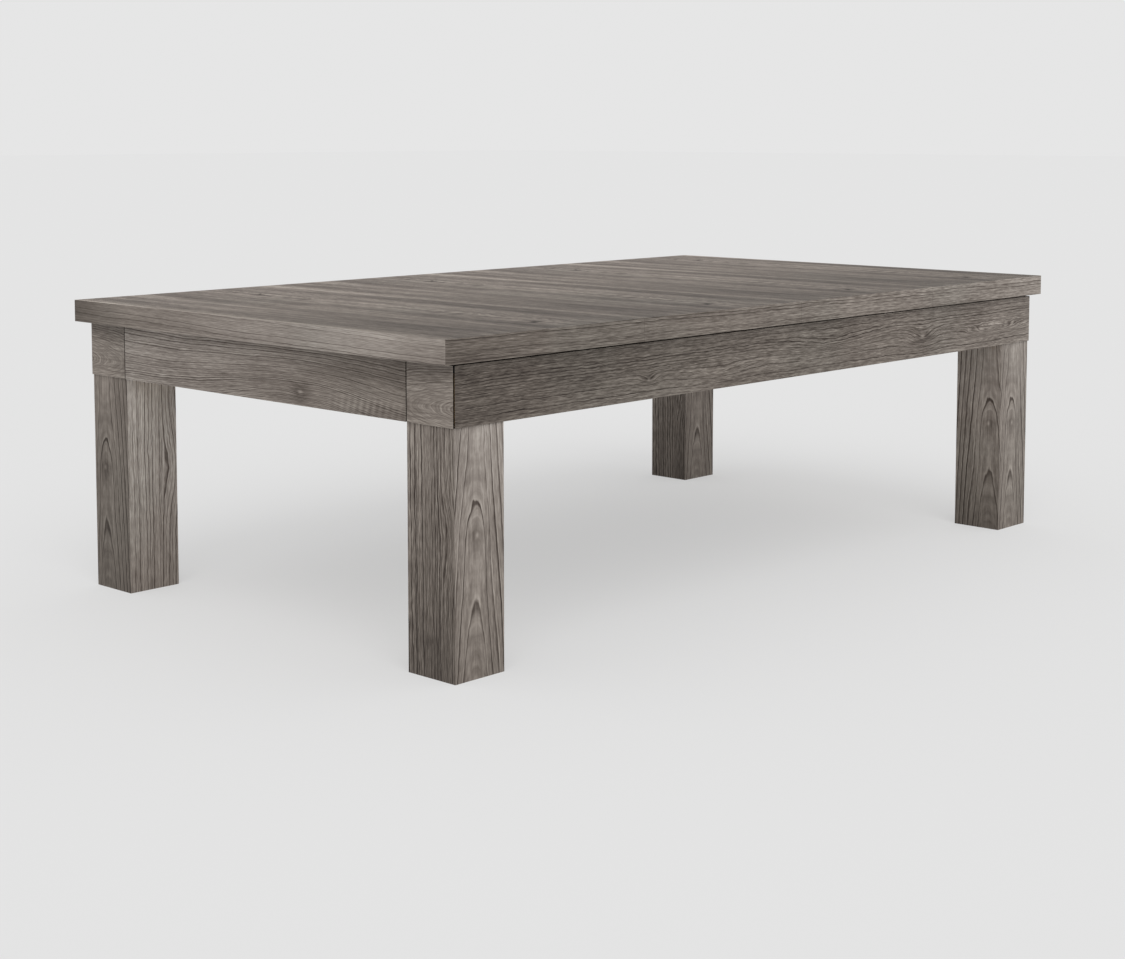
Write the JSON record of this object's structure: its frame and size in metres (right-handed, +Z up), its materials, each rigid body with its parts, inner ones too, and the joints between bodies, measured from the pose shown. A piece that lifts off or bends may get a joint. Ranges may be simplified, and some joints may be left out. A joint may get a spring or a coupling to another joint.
{
  "type": "pool table with dining top",
  "caption": "Rectangular oak table on square legs: a pool table with slate bed, cushions and drop pockets, closed by lift-off dining-top leaves; screw feet level it.",
  "frame": {"origin": "on the floor under the middle of the table", "axes": "+X along the table, +Y across it, +Z up; the near corner of the picture is the -X, -Y one"},
  "size_m": [2.6, 1.472, 0.794],
  "materials": {
    "top_oak": "weathered grey-brown oak veneer, matt lacquer",
    "apron_oak": "weathered grey-brown oak, matt lacquer",
    "leg_oak": "weathered grey-brown oak, matt lacquer",
    "rail_oak": "weathered grey-brown oak, satin lacquer",
    "frame_wood": "planed softwood, unfinished",
    "plywood": "plywood, unfinished",
    "slate": "honed",
    "bed_cloth": "napped wool cloth",
    "cushion_cloth": "rubber covered in wool cloth",
    "pocket_plastic": "moulded black, fine grain",
    "foot_steel": "zinc plated"
  },
  "bodies": {
    "table": {"rail_front_left": "rail_oak", "rail_front_right": "rail_oak", "rail_back_left": "rail_oak", "rail_back_right": "rail_oak", "rail_left": "rail_oak", "rail_right": "rail_oak", "cushion_front_left": "cushion_cloth", "cushion_front_right": "cushion_cloth", "cushion_back_left": "cushion_cloth", "cushion_back_right": "cushion_cloth", "cushion_left": "cushion_cloth", "cushion_right": "cushion_cloth", "pocket_front_left": "pocket_plastic", "pocket_front_right": "pocket_plastic", "pocket_back_left": "pocket_plastic", "pocket_back_right": "pocket_plastic", "pocket_front_middle": "pocket_plastic", "pocket_back_middle": "pocket_plastic", "slate_left": "slate", "slate_middle": "slate", "slate_right": "slate", "bed_cloth": "bed_cloth", "cabinet_front": "frame_wood", "cabinet_back": "frame_wood", "cabinet_left": "frame_wood", "cabinet_right": "frame_wood", "cross_beam_left": "frame_wood", "cross_beam_right": "frame_wood", "leg_board_left": "plywood", "leg_board_right": "plywood", "apron_front": "apron_oak", "apron_back": "apron_oak", "apron_left": "apron_oak", "apron_right": "apron_oak", "corner_panel_front_left": "apron_oak", "corner_panel_front_right": "apron_oak", "corner_panel_back_left": "apron_oak", "corner_panel_back_right": "apron_oak", "leg_front_left": "leg_oak", "leg_front_right": "leg_oak", "leg_back_left": "leg_oak", "leg_back_right": "leg_oak"},
    "leaf_1": {"leaf_1_panel": "top_oak", "leaf_1_front_skirt": "top_oak", "leaf_1_back_skirt": "top_oak", "leaf_1_end_skirt": "top_oak"},
    "leaf_2": {"leaf_2_panel": "top_oak", "leaf_2_front_skirt": "top_oak", "leaf_2_back_skirt": "top_oak"},
    "leaf_3": {"leaf_3_panel": "top_oak", "leaf_3_front_skirt": "top_oak", "leaf_3_back_skirt": "top_oak"},
    "leaf_4": {"leaf_4_panel": "top_oak", "leaf_4_front_skirt": "top_oak", "leaf_4_back_skirt": "top_oak", "leaf_4_end_skirt": "top_oak"},
    "foot_front_left": {"foot_front_left": "foot_steel"},
    "foot_front_right": {"foot_front_right": "foot_steel"},
    "foot_back_left": {"foot_back_left": "foot_steel"},
    "foot_back_right": {"foot_back_right": "foot_steel"}
  },
  "joints": [
    {"name": "leaf_1_lift", "type": "slide", "parent": "table", "child": "leaf_1", "axis": [0, 0, 1], "range_m": [0, 0.3]},
    {"name": "leaf_2_lift", "type": "slide", "parent": "table", "child": "leaf_2", "axis": [0, 0, 1], "range_m": [0, 0.3]},
    {"name": "leaf_3_lift", "type": "slide", "parent": "table", "child": "leaf_3", "axis": [0, 0, 1], "range_m": [0, 0.3]},
    {"name": "leaf_4_lift", "type": "slide", "parent": "table", "child": "leaf_4", "axis": [0, 0, 1], "range_m": [0, 0.3]},
    {"name": "foot_front_left_level", "type": "slide", "parent": "table", "child": "foot_front_left", "axis": [0, 0, -1], "range_m": [0, 0.02]},
    {"name": "foot_front_right_level", "type": "slide", "parent": "table", "child": "foot_front_right", "axis": [0, 0, -1], "range_m": [0, 0.02]},
    {"name": "foot_back_left_level", "type": "slide", "parent": "table", "child": "foot_back_left", "axis": [0, 0, -1], "range_m": [0, 0.02]},
    {"name": "foot_back_right_level", "type": "slide", "parent": "table", "child": "foot_back_right", "axis": [0, 0, -1], "range_m": [0, 0.02]}
  ]
}
